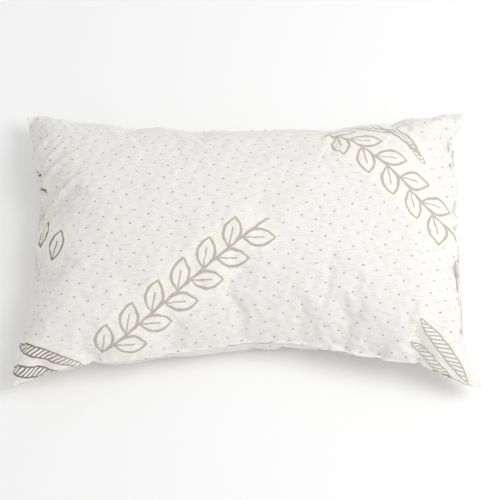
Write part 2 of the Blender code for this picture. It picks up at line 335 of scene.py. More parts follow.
def spline_rows(values, places):
    """Reads rows off a smooth curve through the given rows, at places counted in cells."""
    before = 2 * values[:1] - values[1:2]
    after = 2 * values[-1:] - values[-2:-1]
    longer = np.concatenate([before, values, after])
    base = np.clip(np.floor(places).astype(int), 0, len(values) - 2)
    t = (places - base)[:, None, None]
    a, b, c, d = (longer[base + k] for k in range(4))
    return b + 0.5 * t * (c - a + t * (2 * a - 5 * b + 4 * c - d + t * (3 * (b - c) + d - a)))


def resample(grid, rows, columns):
    """Reads a grid off a smooth surface through the given one, at places counted in cells."""
    along = spline_rows(grid, rows)
    return spline_rows(along.transpose(1, 0, 2), columns).transpose(1, 0, 2)


def fine_lines(cells):
    """Half a cell apart inside, and closer beside the seams."""
    near = np.array(EDGE_LINES)
    inner = np.linspace(1, cells - 1, 2 * (cells - 2) + 1)
    return np.concatenate([near, inner, cells - near[::-1]])


def unit(vectors):
    return vectors / np.maximum(np.linalg.norm(vectors, axis=-1, keepdims=True), 1e-9)


def normals(grid):
    """The unit normal of a grid's surface at each of its points."""
    return unit(np.cross(np.gradient(grid, axis=0), np.gradient(grid, axis=1)))


def smoothstep(low, high, value):
    t = np.clip((value - low) / (high - low), 0, 1)
    return t * t * (3 - 2 * t)


def smooth_noise(shape, cells, seed):
    """Soft random bumps of about unit height, so many across and along a panel."""
    rough = np.random.default_rng(seed).normal(0, 1, (cells[0] + 1, cells[1] + 1, 1))
    rows = np.linspace(0, cells[0], shape[0])
    columns = np.linspace(0, cells[1], shape[1])
    return resample(rough, rows, columns)[..., 0]


def seam_views(grid):
    """The grid seen from each of its four edges, with the edge first."""
    return (grid, grid[::-1], grid.transpose(1, 0, 2), grid.transpose(1, 0, 2)[::-1])


def roll_seams(top, under, stay):
    """Turns the last few millimetres of both panels inwards, where the seam holds them."""
    first_inside = len(EDGE_LINES)
    views = zip(seam_views(top), seam_views(under), seam_views(stay))
    for upper, lower, held in views:
        middle = (upper[first_inside] + lower[first_inside]) / 2
        inwards = unit(middle - upper[0])
        apart = unit(upper[first_inside] - lower[first_inside])
        for k, distance in enumerate(EDGE_LINES):
            weight = (1 - distance) ** 3 * (1 - held[0])
            upper[k] += weight * (SEAM_ROLL * inwards + SEAM_GAP * apart)
            lower[k] += weight * (SEAM_ROLL * inwards - SEAM_GAP * apart)


def lay_hem(grid, side):
    """Lays the strip beside the zip flat over its tape."""
    steps = np.linalg.norm(np.diff(grid[::-1], axis=0, prepend=grid[-1:]), axis=-1)
    distance = np.cumsum(steps, axis=0)[::-1]
    beside = 1 - smoothstep(ZIP_REACH, ZIP_REACH + HEM_FADE, abs(grid[-1:, :, 1]))
    weight = (1 - smoothstep(HEM_FLAT, HEM_END, distance)) * beside
    flat_x = np.full_like(distance, SIDE_X)
    flat_z = SEAM_HEIGHT + side * (HEM_RISE + distance)
    target = np.stack([flat_x, grid[..., 1], flat_z], -1)
    return grid + weight[..., None] * (target - grid)


# Gathers and puckers where the seams hold the cloth in: start, end, half width and height, on the
# flat cloth. Each is a ridge with a shallower valley beside it, and dies out towards its end.
FOLDS = (
    ((-0.376, 0.030), (-0.235, 0.092), 0.0055, 0.0105),
    ((-0.372, 0.050), (-0.262, 0.078), 0.0050, 0.0050),
    ((-0.376, 0.092), (-0.272, 0.168), 0.0052, 0.0100),
    ((-0.376, 0.086), (-0.248, 0.138), 0.0055, 0.0090),
    ((-0.376, 0.150), (-0.296, 0.188), 0.0055, 0.0055),
    ((-0.372, -0.060), (-0.320, -0.050), 0.0060, 0.0026),
    ((0.040, -0.250), (0.066, -0.205), 0.0070, 0.0044),
    ((0.086, -0.250), (0.078, -0.208), 0.0065, 0.0036),
    ((0.128, -0.250), (0.158, -0.214), 0.0070, 0.0044),
    ((0.178, -0.250), (0.172, -0.212), 0.0060, 0.0034),
    ((0.222, -0.250), (0.250, -0.206), 0.0075, 0.0044),
    ((-0.060, -0.250), (-0.070, -0.214), 0.0065, 0.0026),
    ((0.372, 0.140), (0.318, 0.136), 0.0090, 0.0050),
    ((0.372, 0.020), (0.312, 0.034), 0.0090, 0.0060),
    ((0.372, -0.046), (0.322, -0.038), 0.0080, 0.0040),
)
# The valley's depth in ridge heights, and its place in half widths from the ridge.
VALLEY_DEPTH = 0.8
VALLEY_OFFSET = 1.6
# Along its length, a fold rises between these two places, and dies out between those two.
FOLD_RISE = (-0.2, 0.1)
FOLD_FALL = (0.25, 1.0)


def fold_lift(flat):
    """How far the gathers and puckers raise each point of a panel."""
    raised = np.zeros(flat.shape[:2])
    for start, end, half_width, height in FOLDS:
        run = np.subtract(end, start)
        length = np.linalg.norm(run)
        along = (flat - start) @ run / length**2
        off = (flat - start) @ np.array([-run[1], run[0]]) / (length * half_width)
        taper = smoothstep(*FOLD_RISE, along) * (1 - smoothstep(*FOLD_FALL, along))
        valley = VALLEY_DEPTH * np.exp(-((off - VALLEY_OFFSET) ** 2))
        raised += height * taper * (np.exp(-(off**2)) - valley)
    return raised


# The filled top hangs out over the zip in soft swells: place along the zip, half width, reach.
SWELLS = (
    (0.088, 0.048, 0.0190),
    (-0.006, 0.026, 0.0130),
    (-0.105, 0.085, 0.0135),
)
# Back from the hem, the swells rise between these two places, and fall between those two.
SWELL_RISE = (0.004, 0.018)
SWELL_FALL = (0.026, 0.085)


def overhang(flat):
    """How far the top panel hangs out over the zip at each of its points."""
    back = flat[-1:, :, 0] - flat[..., 0]
    reach = sum(far * np.exp(-(((flat[..., 1] - place) / width) ** 2)) for place, width, far in SWELLS)
    return reach * smoothstep(*SWELL_RISE, back) * (1 - smoothstep(*SWELL_FALL, back))


# The jacquard repeats on a square grid of this spacing, turned by this much off the courses.
DOT_SPACING = 0.02277
DOT_TURN = math.atan2(1, 3)

# The unevenness of the cover: how high, and how many bumps along and across a panel.
LUMP_HEIGHT, LUMPS = 0.0009, (22, 15)
CRINKLE_HEIGHT, CRINKLES = 0.0002, (58, 38)
DIMPLE_DEPTH = 0.0003
# The cloth is smooth at the seams and uneven from this far in. The folds begin closer to them.
SMOOTH_BAND = 0.030
FOLD_START = 0.010
# The underside is pressed flat below the first height, and as uneven as the top above the second.
PRESSED = (0.004, 0.020)
# No part of the cover is lower than this.
FLOOR_GAP = 0.0005
# The seam's roll comes in over this length past each end of the zip.
ROLL_FADE = 0.004


def shape_panels(top_points, under_points, flat_points):
    """The outer faces of both panels, made finer, with their folds, lumps, hems and rolled seams."""
    rows = fine_lines(CELLS_X)
    columns = fine_lines(CELLS_Y)
    flat = resample(flat_points, rows, columns)
    seam_distance = np.minimum(CUT_LENGTH / 2 - abs(flat[..., 0]), CUT_WIDTH / 2 - abs(flat[..., 1]))
    inside = smoothstep(0.0, SMOOTH_BAND, seam_distance)
    cosine, sine = math.cos(DOT_TURN), math.sin(DOT_TURN)
    turned = flat @ np.array([[cosine, sine], [-sine, cosine]])
    dimples = -np.cos(turned * 2 * math.pi / DOT_SPACING).mean(-1)
    panels = []
    for side, points in ((1, top_points), (-1, under_points)):
        grid = resample(points, rows, columns)
        lumps = LUMP_HEIGHT * smooth_noise(flat.shape, LUMPS, 11 + side)
        lumps += CRINKLE_HEIGHT * smooth_noise(flat.shape, CRINKLES, 5)
        lift = inside * (lumps + DIMPLE_DEPTH * dimples)
        if side > 0:
            lift += smoothstep(0.0, FOLD_START, seam_distance) * fold_lift(flat)
            grid[..., 0] += overhang(flat)
        else:
            lift *= smoothstep(*PRESSED, grid[..., 2])
        grid += (side * lift)[..., None] * normals(grid)
        panels.append(lay_hem(grid, side))
    top, under = panels
    stay = np.zeros(flat.shape[:2] + (1,))
    stay[-1] = 1 - smoothstep(ZIP_REACH, ZIP_REACH + ROLL_FADE, abs(top[-1, :, 1:2]))
    roll_seams(top, under, stay)
    under[..., 2] = np.maximum(under[..., 2], FLOOR_GAP)
    return top, under, flat


# Where the panels nearly touch, a wall is this thin, and thickens by this share of their distance.
THINNEST = 0.00015
WALL_SHARE = 0.35


def wall(grid, other, side, thickness):
    """The inner face of a panel, thinner where both panels nearly touch."""
    room = np.linalg.norm(grid - other, axis=-1, keepdims=True)
    depth = np.minimum(thickness, THINNEST + WALL_SHARE * room)
    return grid - side * depth * normals(grid)


def shell(name, outer, inner, flat, side):
    """A closed piece from an outer and an inner grid, with the flat cloth as its UV map."""
    count_x, count_y = outer.shape[:2]
    index = np.arange(count_x * count_y).reshape(count_x, count_y)
    quads = grid_faces(index)
    outline = np.concatenate([index[:-1, 0], index[-1, :-1], index[:0:-1, -1], index[0, :0:-1]])
    following = np.roll(outline, -1)
    size = index.size
    rim = np.stack([outline, outline + size, following + size, following], -1)
    faces = np.concatenate([quads, quads[:, ::-1] + size, rim])
    if side < 0:
        faces = faces[:, ::-1]
    points = np.concatenate([outer.reshape(-1, 3), inner.reshape(-1, 3)])
    mesh = bpy.data.meshes.new(name)
    mesh.from_pydata(points, [], faces.tolist())
    places = np.tile(flat.reshape(-1, 2), (2, 1))[faces.ravel()]
    mesh.uv_layers.new(name="cloth").data.foreach_set("uv", places.astype(np.float32).ravel())
    mesh.shade_smooth()
    piece = bpy.data.objects.new(name, mesh)
    bpy.context.scene.collection.objects.link(piece)
    return piece


def settle(piece, body, slot, finish, *nodes):
    """Gives a finished piece its material and its body, and hides the solids it stands for. The slot is not
    used.
    """
    piece.data.materials.clear()
    piece.data.materials.append(finish)
    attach(piece, body)
    if nodes:
        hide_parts(*nodes)
    return piece


# ------------------------------------------------------------------ the jacquard pattern

# Motifs are placed on the flat cloth, in metres from its middle. Angles are from the courses.
LEAF_PITCH = 0.052
LEAF_LENGTH = 0.050
LEAF_WIDTH = 0.027
LEAF_LEAN = math.radians(38)
STALK_SHARE = 0.54
STEM_HALF = 0.0021
SPRIGS = (
    # start, angle, leaves on each side
    ((-0.222, -0.226), math.radians(39), 6),
    ((0.136, 0.178), math.radians(-43), 5),
)
LONE_LEAVES = (
    # middle, angle, length, width
    ((-0.341, 0.004), math.radians(75), 0.044, 0.026),
    ((-0.301, -0.032), math.radians(66), 0.048, 0.032),
    ((0.212, 0.180), math.radians(-28), 0.075, 0.013),
    ((0.258, 0.156), math.radians(-48), 0.095, 0.014),
    ((0.028, 0.222), math.radians(-70), 0.050, 0.018),
)
LADDER_LEAVES = (
    # middle, angle, length, width
    ((-0.312, -0.214), math.radians(-27), 0.140, 0.017),
    ((-0.330, -0.238), math.radians(-22), 0.110, 0.017),
    ((0.316, -0.205), math.radians(-47), 0.112, 0.018),
    ((0.300, -0.229), math.radians(-36), 0.090, 0.015),
    ((0.283, 0.124), math.radians(-49), 0.050, 0.013),
    ((-0.366, 0.124), math.radians(-64), 0.090, 0.014),
)
RUNG_PITCH = 0.0075
RUNG_SLANT = -0.9
DRAWN_LINE = 0.0046
DOT_HALF = (0.0019, 0.0011)
DASH_HALF = (0.0042, 0.0009)

# An ink's soft edge: there is none of it at From Min, and it is full at From Max.
SOFT_EDGE = {"interpolation_type": "SMOOTHSTEP"}
# Where each ink has gone and where it is full. The outline and the midrib count in half widths of a
# drawn line, the rungs in metres, and the others in half widths of what is drawn.
OUTLINE_EDGE = (1.2, 0.8)
RIB_EDGE = (0.7, 0.4)
STEM_EDGE = (1.2, 0.8)
LADDER_EDGE = (1.04, 0.96)
LADDER_BORDER = (0.68, 0.80)
RUNG_EDGE = (0.0018, 0.0011)
DOT_EDGE = (1.3, 0.75)
PATCH_EDGE = (1.0, 0.8)
# The midrib ends this far past the leaf's middle, in half lengths.
RIB_END = 0.3

# The bare cloth round each motif, past its ends and past its sides.
LEAF_BARE = (0.015, 0.015)
LADDER_BARE = (0.010, 0.012)
SPRIG_BARE_END = 0.015
SPRIG_BARE_HALF = 0.045


def on_motif(tree, cloth, middle, angle, half_size):
    """Where the cloth is on a motif, from -1 to 1 along it and across it.

    Returns that place, how far along it is, and how far it is off the motif's middle line.
    """
    values = {0: cloth, "Location": (*middle, 0), "Rotation": (0, 0, angle), "Scale": (*half_size, 1)}
    place = add_node(tree, "ShaderNodeMapping", values, vector_type="TEXTURE")
    split = add_node(tree, "ShaderNodeSeparateXYZ", {0: place})
    off = add_node(tree, "ShaderNodeMath", {0: split.outputs["Y"]}, operation="ABSOLUTE")
    return place, split.outputs["X"], off


def leaf_ink(tree, run, off, width):
    """The outline and the midrib of a leaf."""
    line = DRAWN_LINE / width
    squared = add_node(tree, "ShaderNodeMath", {0: run, 1: 2.0}, operation="POWER")
    bowed = add_node(tree, "ShaderNodeMath", {0: off, 1: squared}, operation="ADD")
    past_edge = add_node(tree, "ShaderNodeMath", {0: bowed, 1: 1.0}, operation="SUBTRACT")
    from_edge = add_node(tree, "ShaderNodeMath", {0: past_edge}, operation="ABSOLUTE")
    limits = {"Value": from_edge, "From Min": line * OUTLINE_EDGE[0], "From Max": line * OUTLINE_EDGE[1]}
    outline = add_node(tree, "ShaderNodeMapRange", limits, **SOFT_EDGE)
    limits = {"Value": off, "From Min": line * RIB_EDGE[0], "From Max": line * RIB_EDGE[1]}
    rib = add_node(tree, "ShaderNodeMapRange", limits, **SOFT_EDGE)
    short = add_node(tree, "ShaderNodeMath", {0: run, 1: RIB_END}, operation="LESS_THAN")
    inner = add_node(tree, "ShaderNodeMath", {0: bowed, 1: 1.0}, operation="LESS_THAN")
    rib = add_node(tree, "ShaderNodeMath", {0: rib, 1: short}, operation="MULTIPLY")
    rib = add_node(tree, "ShaderNodeMath", {0: rib, 1: inner}, operation="MULTIPLY")
    return add_node(tree, "ShaderNodeMath", {0: outline, 1: rib}, operation="MAXIMUM")


def leaf_row(tree, along, side, shift, length):
    """Leaves in a row on one side of a stem."""
    values = {0: along, "Location": (-shift, 0, 0), "Scale": (1, side, 1)}
    row = add_node(tree, "ShaderNodeMapping", values, vector_type="POINT")
    run = add_node(tree, "ShaderNodeSeparateXYZ", {0: row}).outputs["X"]
    centred = add_node(tree, "ShaderNodeMath", {0: run, 1: length / 2}, operation="SUBTRACT")
    apart = add_node(tree, "ShaderNodeMath", {0: centred}, operation="ABSOLUTE")
    within = add_node(tree, "ShaderNodeMath", {0: apart, 1: length / 2}, operation="LESS_THAN")
    limits = {0: row, 1: (LEAF_PITCH, 1, 1), 2: (0, -1, -1)}
    repeated = add_node(tree, "ShaderNodeVectorMath", limits, operation="WRAP")
    reach = LEAF_LENGTH * STALK_SHARE
    middle = (math.cos(LEAF_LEAN) * reach, math.sin(LEAF_LEAN) * reach)
    half_size = (LEAF_LENGTH / 2, LEAF_WIDTH / 2)
    _, run, off = on_motif(tree, repeated, middle, LEAF_LEAN, half_size)
    ink = leaf_ink(tree, run, off, LEAF_WIDTH)
    return add_node(tree, "ShaderNodeMath", {0: ink, 1: within}, operation="MULTIPLY")


def sprig_ink(tree, cloth, start, angle, count):
    """A straight stem with leaves on both sides in turn, and the bare cloth round it."""
    values = {0: cloth, "Location": (*start, 0), "Rotation": (0, 0, angle)}
    along = add_node(tree, "ShaderNodeMapping", values, vector_type="TEXTURE")
    length = count * LEAF_PITCH
    left = leaf_row(tree, along, 1, 0.0, length)
    right = leaf_row(tree, along, -1, LEAF_PITCH / 2, length)
    leaves = add_node(tree, "ShaderNodeMath", {0: left, 1: right}, operation="MAXIMUM")
    half = (length + LEAF_PITCH / 2) / 2
    centre = [start[0] + math.cos(angle) * half, start[1] + math.sin(angle) * half]
    _, run, off = on_motif(tree, cloth, centre, angle, (half, STEM_HALF))
    apart = add_node(tree, "ShaderNodeMath", {0: run}, operation="ABSOLUTE")
    within = add_node(tree, "ShaderNodeMath", {0: apart, 1: 1.0}, operation="LESS_THAN")
    limits = {"Value": off, "From Min": STEM_EDGE[0], "From Max": STEM_EDGE[1]}
    line = add_node(tree, "ShaderNodeMapRange", limits, **SOFT_EDGE)
    stem = add_node(tree, "ShaderNodeMath", {0: line, 1: within}, operation="MULTIPLY")
    ink = add_node(tree, "ShaderNodeMath", {0: leaves, 1: stem}, operation="MAXIMUM")
    return ink, bare_patch(tree, cloth, centre, angle, (half + SPRIG_BARE_END, SPRIG_BARE_HALF))


def bare_patch(tree, cloth, middle, angle, half_size):
    """A patch with soft sides, where the cloth round a motif has no dots."""
    _, run, off = on_motif(tree, cloth, middle, angle, half_size)
    apart = add_node(tree, "ShaderNodeMath", {0: run}, operation="ABSOLUTE")
    farther = add_node(tree, "ShaderNodeMath", {0: apart, 1: off}, operation="MAXIMUM")
    limits = {"Value": farther, "From Min": PATCH_EDGE[0], "From Max": PATCH_EDGE[1]}
    return add_node(tree, "ShaderNodeMapRange", limits, **SOFT_EDGE)


def ladder_ink(tree, cloth, middle, angle, length, width):
    """A long leaf with a broad edge, filled with slanted rungs."""
    place, run, off = on_motif(tree, cloth, middle, angle, (length / 2, width / 2))
    taper = add_node(tree, "ShaderNodeMath", {0: run, 1: 4.0}, operation="POWER")
    bowed = add_node(tree, "ShaderNodeMath", {0: off, 1: taper}, operation="ADD")
    lean = (length / 2, RUNG_SLANT * width / 2, 0)
    climb = add_node(tree, "ShaderNodeVectorMath", {0: place, 1: lean}, operation="DOT_PRODUCT")
    swing = add_node(
        tree, "ShaderNodeMath", {0: climb.outputs["Value"], 1: RUNG_PITCH / 2}, operation="PINGPONG"
    )
    inks = []
    for value, edge in ((bowed, LADDER_EDGE), (bowed, LADDER_BORDER), (swing, RUNG_EDGE)):
        limits = {"Value": value, "From Min": edge[0], "From Max": edge[1]}
        inks.append(add_node(tree, "ShaderNodeMapRange", limits, **SOFT_EDGE))
    inside, border, rung = inks
    drawn = add_node(tree, "ShaderNodeMath", {0: border, 1: rung}, operation="MAXIMUM")
    return add_node(tree, "ShaderNodeMath", {0: drawn, 1: inside}, operation="MULTIPLY")


def dot_ink(tree, cloth, shift, half_size):
    """One short dash in each square of the turned grid."""
    step = 1 / DOT_SPACING
    values = {0: cloth, "Location": (*shift, 0), "Rotation": (0, 0, DOT_TURN), "Scale": (step, step, 1)}
    grid = add_node(tree, "ShaderNodeMapping", values, vector_type="POINT")
    limits = {0: grid, 1: (0.5, 0.5, 0.5), 2: (-0.5, -0.5, -0.5)}
    square = add_node(tree, "ShaderNodeVectorMath", limits, operation="WRAP")
    sizes = (half_size[0] * step, half_size[1] * step, 1)
    values = {0: square, "Rotation": (0, 0, DOT_TURN), "Scale": sizes}
    place = add_node(tree, "ShaderNodeMapping", values, vector_type="TEXTURE")
    reach = add_node(tree, "ShaderNodeVectorMath", {0: place}, operation="LENGTH")
    limits = {"Value": reach.outputs["Value"], "From Min": DOT_EDGE[0], "From Max": DOT_EDGE[1]}
    return add_node(tree, "ShaderNodeMapRange", limits, **SOFT_EDGE)


def drawn_motifs(tree, cloth):
    """The ink of all motifs, and the bare cloth round them."""
    motifs = []
    for start, angle, count in SPRIGS:
        motifs.append(sprig_ink(tree, cloth, start, angle, count))
    for middle, angle, length, width in LONE_LEAVES:
        _, run, off = on_motif(tree, cloth, middle, angle, (length / 2, width / 2))
        patch = (length / 2 + LEAF_BARE[0], width / 2 + LEAF_BARE[1])
        motifs.append((leaf_ink(tree, run, off, width), bare_patch(tree, cloth, middle, angle, patch)))
    for middle, angle, length, width in LADDER_LEAVES:
        drawn = ladder_ink(tree, cloth, middle, angle, length, width)
        patch = (length / 2 + LADDER_BARE[0], width / 2 + LADDER_BARE[1])
        motifs.append((drawn, bare_patch(tree, cloth, middle, angle, patch)))
    ink, bare = motifs[0]
    for drawn, patch in motifs[1:]:
        ink = add_node(tree, "ShaderNodeMath", {0: ink, 1: drawn}, operation="MAXIMUM")
        bare = add_node(tree, "ShaderNodeMath", {0: bare, 1: patch}, operation="MAXIMUM")
    return ink, bare


# ------------------------------------------------------------------ finishes

HERRINGBONE_TURN = 0.0022
HERRINGBONE_RIB = 0.00035


def work_in(tree, shader, shades=(), roughness=(), relief=()):
    """Works patterns into a finish: two shades, a range of roughness, and a relief in metres."""
    if shades:
        pattern, dark, light = shades
        mix = {"Factor": pattern, 6: colour(dark), 7: colour(light)}
        shade = add_node(tree, "ShaderNodeMix", mix, data_type="RGBA")
        tree.links.new(shade.outputs[2], shader.inputs["Base Color"])
    if roughness:
        pattern, low, high = roughness
        rough = add_node(tree, "ShaderNodeMapRange", {"Value": pattern, "To Min": low, "To Max": high})
        tree.links.new(rough.outputs[0], shader.inputs["Roughness"])
    if relief:
        pattern, depth, strength = relief
        values = {"Height": pattern, "Distance": depth, "Strength": strength}
        tree.links.new(add_node(tree, "ShaderNodeBump", values).outputs[0], shader.inputs["Normal"])


def knitted_jacquard():
    """Double-knit jacquard in spun polyester: matt, and faintly fuzzy at grazing angles. Small grey
    tie-down stitches dimple it, courses run along it as fine streaks, and the drawn leaves are flat."""
    material, tree, shader = new_finish(
        "double_knit_jacquard", "#EDE9E3", 0.9, Sheen_Weight=0.2, Sheen_Roughness=0.5, IOR=1.45
    )
    cloth = add_node(tree, "ShaderNodeUVMap", uv_map="cloth").outputs["UV"]
    ink, patches = drawn_motifs(tree, cloth)

    # Real courses are 1.1 mm apart. The streaks are drawn 2.4 mm apart, or they would not show.
    stretched = add_node(tree, "ShaderNodeMapping", {0: cloth, "Scale": (60.0, 420.0, 1.0)})
    streak_noise = add_node(tree, "ShaderNodeTexNoise", {"Vector": stretched, "Scale": 1.0, "Detail": 2.0})
    limits = {"Value": streak_noise.outputs["Fac"], "From Min": 0.56, "From Max": 0.68}
    streaks = add_node(tree, "ShaderNodeMapRange", limits, **SOFT_EDGE)
    dotted = add_node(tree, "ShaderNodeMath", {0: 1.0, 1: patches}, operation="SUBTRACT")
    dips = dot_ink(tree, cloth, (0.0, 0.0), DOT_HALF)
    dots = add_node(tree, "ShaderNodeMath", {0: dips, 1: dotted}, operation="MULTIPLY")
    dashes = dot_ink(tree, cloth, (0.5, 0.5), DASH_HALF)
    dashes = add_node(tree, "ShaderNodeMath", {0: dashes, 1: dotted}, operation="MULTIPLY")

    mottle = add_node(tree, "ShaderNodeTexNoise", {"Vector": cloth, "Scale": 9.0, "Detail": 3.0})
    grounds = {"Factor": mottle.outputs["Fac"], 6: colour("#EFEAE4"), 7: colour("#F1F0F0")}
    shown = add_node(tree, "ShaderNodeMix", grounds, data_type="RGBA").outputs[2]
    layers = (
        (patches, "#F6F3EA", 0.8),
        (streaks, "#DDD9D5", 0.35),
        (dashes, "#D6D2CC", 0.45),
        (dots, "#A6A097", 0.8),
    )
    for mask, tint, strength in layers:
        factor = add_node(tree, "ShaderNodeMath", {0: mask, 1: strength}, operation="MULTIPLY")
        mix = {"Factor": factor, 6: shown, 7: colour(tint)}
        shown = add_node(tree, "ShaderNodeMix", mix, data_type="RGBA").outputs[2]

    # Painted shade: the ink is painted darker and browner towards one short side, standing in for the shade
    # where that side slopes away from the light.
    run = add_node(tree, "ShaderNodeSeparateXYZ", {0: cloth}).outputs["X"]
    limits = {"Value": run, "From Min": -0.24, "From Max": -0.33}
    painted_shade_ramp = add_node(tree, "ShaderNodeMapRange", limits, **SOFT_EDGE)
    # The second ink colour is the ink in painted shade.
    lit_and_shaded_inks = {"Factor": painted_shade_ramp, 6: colour("#C0BCAF"), 7: colour("#7F766C")}
    ink_with_painted_shade = add_node(tree, "ShaderNodeMix", lit_and_shaded_inks, data_type="RGBA").outputs[2]
    shown = add_node(tree, "ShaderNodeMix", {"Factor": ink, 6: shown, 7: ink_with_painted_shade}, data_type="RGBA").outputs[2]
    tree.links.new(shown, shader.inputs["Base Color"])

    courses = add_node(
        tree,
        "ShaderNodeTexWave",
        {"Vector": cloth, "Scale": 130.0, "Distortion": 1.2, "Detail": 1.0},
        wave_type="BANDS",
        bands_direction="Y",
    )
    height = add_node(tree, "ShaderNodeMath", {0: courses.outputs["Fac"], 1: 0.25}, operation="MULTIPLY")
    for mask, depth in ((dips, -1.0), (streaks, -0.5)):
        height = add_node(
            tree, "ShaderNodeMath", {0: mask, 1: depth, 2: height}, operation="MULTIPLY_ADD"
        )
    work_in(
        tree, shader, roughness=(streak_noise.outputs["Fac"], 0.84, 0.96), relief=(height, 0.0006, 0.7)
    )
    return material


def spun_thread():
    """Two-ply spun polyester thread: soft and matt, with its twist showing as slanted grooves."""
    material, tree, shader = new_finish("spun_polyester_thread", "#EDEAE4", 0.75, Sheen_Weight=0.2, IOR=1.5)
    place = add_node(tree, "ShaderNodeTexCoord").outputs["Object"]
    twist = add_node(
        tree,
        "ShaderNodeTexWave",
        {"Vector": place, "Scale": 420.0, "Distortion": 0.6},
        wave_type="BANDS",
        bands_direction="DIAGONAL",
    ).outputs["Fac"]
    work_in(tree, shader, shades=(twist, "#D9D5CE", "#F1EEE9"), relief=(twist, 0.00008, 1.0))
    return material


def herringbone_tape():
    """Woven polyester zip tape: a fine herringbone that turns every few millimetres."""
    material, tree, shader = new_finish(
        "herringbone_polyester_tape", "#ECEBE6", 0.8, Sheen_Weight=0.15, IOR=1.5
    )
    place = add_node(tree, "ShaderNodeTexCoord").outputs["Object"]
    split = add_node(tree, "ShaderNodeSeparateXYZ", {0: place})
    turn = add_node(
        tree, "ShaderNodeMath", {0: split.outputs["Z"], 1: HERRINGBONE_TURN}, operation="PINGPONG"
    )
    slant = add_node(tree, "ShaderNodeMath", {0: split.outputs["Y"], 1: turn}, operation="ADD")
    rib = add_node(tree, "ShaderNodeMath", {0: slant, 1: HERRINGBONE_RIB}, operation="PINGPONG")
    height = add_node(tree, "ShaderNodeMapRange", {"Value": rib, "From Max": HERRINGBONE_RIB})
    work_in(tree, shader, shades=(height, "#D3D1CB", "#F0EFEB"), relief=(height, 0.00015, 1.0))
    return material


def drawn_nylon():
    """Drawn nylon filament: milky and a little waxy, with a faint drawn grain."""
    material, tree, shader = new_finish("drawn_nylon", "#EFEEE9", 0.38, IOR=1.53, Subsurface_Weight=0.2)
    shader.inputs["Subsurface Scale"].default_value = 0.001
    place = add_node(tree, "ShaderNodeTexCoord").outputs["Object"]
    noise = add_node(tree, "ShaderNodeTexNoise", {"Vector": place, "Scale": 900.0, "Detail": 2.0})
    grain = noise.outputs["Fac"]
    work_in(tree, shader, shades=(grain, "#E4E3DD", "#F4F3EF"), roughness=(grain, 0.3, 0.5))
    return material


def tumbled_nickel():
    """Nickel plate on zinc, tumbled: a soft grey shine with fine dull nicks."""
    material, tree, shader = new_finish("tumbled_nickel", "#C6C2B9", 0.32, Metallic=1.0)
    place = add_node(tree, "ShaderNodeTexCoord").outputs["Object"]
    fine = add_node(tree, "ShaderNodeTexNoise", {"Vector": place, "Scale": 1400.0, "Detail": 4.0})
    clouds = add_node(tree, "ShaderNodeTexNoise", {"Vector": place, "Scale": 260.0, "Detail": 2.0})
    nicks = fine.outputs["Fac"]
    work_in(
        tree,
        shader,
        shades=(clouds.outputs["Fac"], "#B9B4AA", "#D0CDC5"),
        roughness=(nicks, 0.2, 0.5),
        relief=(nicks, 0.00003, 0.6),
    )
    return material


def satin_ribbon():
    """Woven satin ribbon: long floats across it give a soft shine along one way."""
    material, tree, shader = new_finish("woven_satin_ribbon", "#F4F2EF", 0.42, Sheen_Weight=0.3, IOR=1.5)
    cloth = add_node(tree, "ShaderNodeUVMap", uv_map="cloth").outputs["UV"]
    stretched = add_node(tree, "ShaderNodeMapping", {0: cloth, "Scale": (300.0, 2600.0, 1.0)})
    noise = add_node(tree, "ShaderNodeTexNoise", {"Vector": stretched, "Scale": 1.0, "Detail": 2.0})
    floats = noise.outputs["Fac"]
    work_in(
        tree,
        shader,
        shades=(floats, "#E7E4E0", "#FAF9F7"),
        roughness=(floats, 0.34, 0.55),
        relief=(floats, 0.00006, 1.0),
    )
    return material


def plain_weave():
    """Plain-woven polyester cotton: an even over-and-under weave, dull and crisp. The real threads
    are 0.3 mm apart. They are drawn 0.8 mm apart, or they would not show."""
    material, tree, shader = new_finish("plain_woven_percale", "#F0F0EE", 0.85, Sheen_Weight=0.1, IOR=1.5)
    cloth = add_node(tree, "ShaderNodeUVMap", uv_map="cloth").outputs["UV"]
    weave = add_node(tree, "ShaderNodeTexChecker", {"Vector": cloth, "Scale": 1 / 0.0008})
    threads = add_node(
        tree, "ShaderNodeTexWave", {"Vector": cloth, "Scale": 380.0}, wave_type="BANDS", bands_direction="X"
    )
    both = {0: weave.outputs["Fac"], 1: threads.outputs["Fac"]}
    height = add_node(tree, "ShaderNodeMath", both, operation="ADD")
    half = add_node(tree, "ShaderNodeMath", {0: height, 1: 0.5}, operation="MULTIPLY")
    work_in(tree, shader, shades=(half, "#E6E6E3", "#F5F5F3"), relief=(half, 0.00012, 1.0))
    return material


def torn_foam():
    """Shredded viscoelastic foam: pale cream, dead matt, with open cells and yellower old faces."""
    material, tree, shader = new_finish("shredded_viscoelastic_foam", "#EDE3C8", 0.95, IOR=1.4)
    place = add_node(tree, "ShaderNodeTexCoord").outputs["Object"]
    cells = add_node(tree, "ShaderNodeTexVoronoi", {"Vector": place, "Scale": 1400.0})
    age = add_node(tree, "ShaderNodeTexNoise", {"Vector": place, "Scale": 60.0, "Detail": 2.0})
    work_in(
        tree,
        shader,
        shades=(age.outputs["Fac"], "#E3D4AC", "#F4EDDA"),
        relief=(cells.outputs["Distance"], 0.0004, 1.0),
    )
    return material


# ------------------------------------------------------------------ what repeats, as geometry nodes


def new_tree(name, inputs):
    """A geometry node tree with named inputs, its group input and its group output."""
    tree = bpy.data.node_groups.new(name, "GeometryNodeTree")
    for label, kind in inputs:
        tree.interface.new_socket(label, in_out="INPUT", socket_type="NodeSocket" + kind)
    tree.interface.new_socket("Result", in_out="OUTPUT", socket_type="NodeSocketGeometry")
    return tree, add_node(tree, "NodeGroupInput"), add_node(tree, "NodeGroupOutput")


def end_tree(tree, start, end, instances):
    solid = add_node(tree, "GeometryNodeRealizeInstances", {0: instances})
    painted = add_node(tree, "GeometryNodeSetMaterial", {0: solid, "Material": start.outputs["Finish"]})
    tree.links.new(painted.outputs[0], end.inputs[0])


